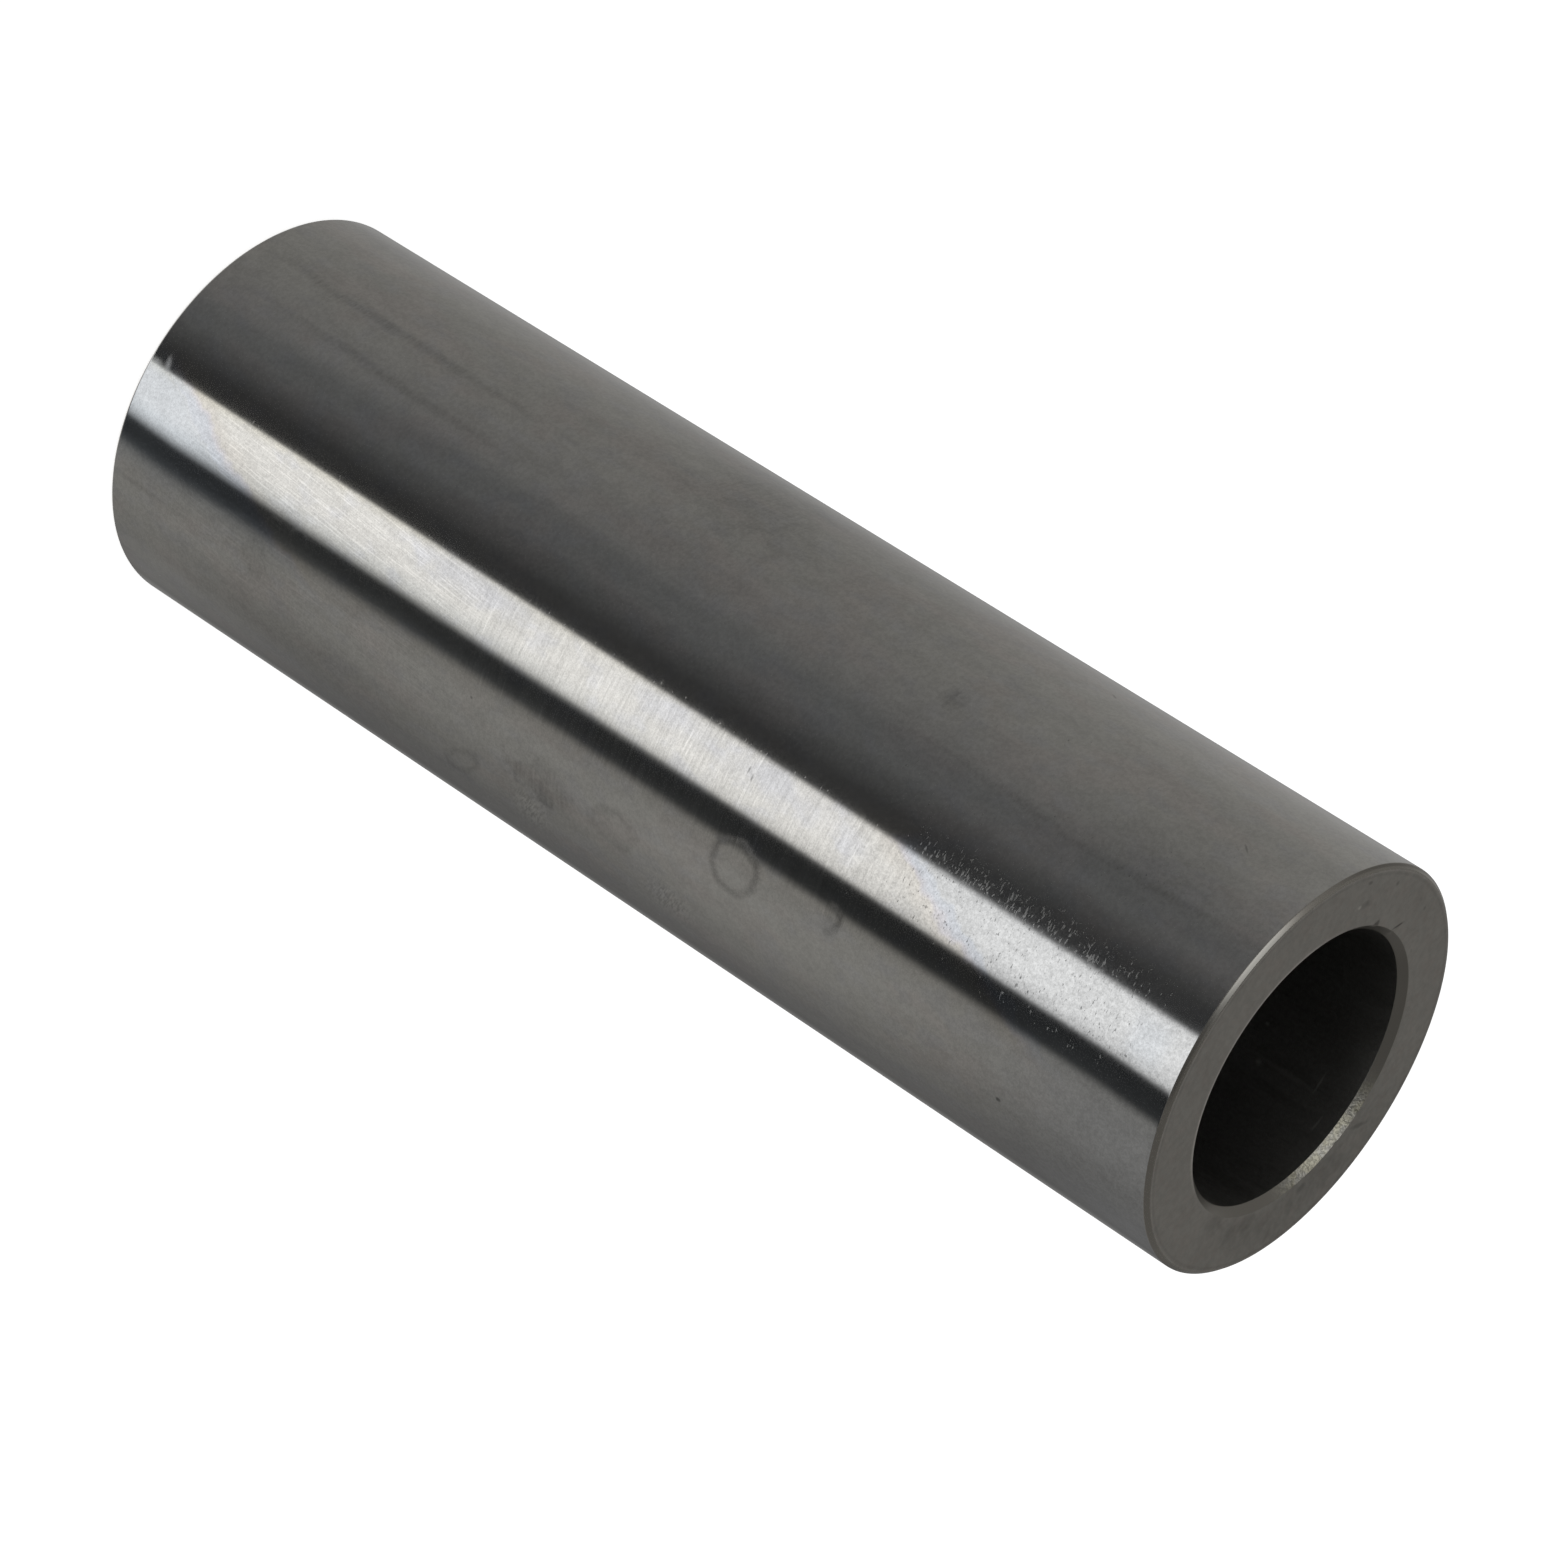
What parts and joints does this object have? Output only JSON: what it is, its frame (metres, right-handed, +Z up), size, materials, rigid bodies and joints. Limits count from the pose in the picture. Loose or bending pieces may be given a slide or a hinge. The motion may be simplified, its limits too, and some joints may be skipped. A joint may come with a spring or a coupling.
{
  "type": "gudgeon pin",
  "caption": "Hollow ground steel gudgeon pin: a plain cylindrical tube with chamfered ends that joins a piston to the small end of its connecting rod.",
  "frame": {"origin": "centre of the pin's lower end, on the plane it stands on", "axes": "+Z up the pin's axis; X and Y are equal, because the pin is round"},
  "size_m": [0.02, 0.02, 0.064],
  "materials": {
    "ground_steel": "case-hardened steel, ground and lapped on the outside, plain ground ends, reamed bore"
  },
  "bodies": {
    "root": {"gudgeon_pin": "ground_steel"}
  },
  "joints": []
}
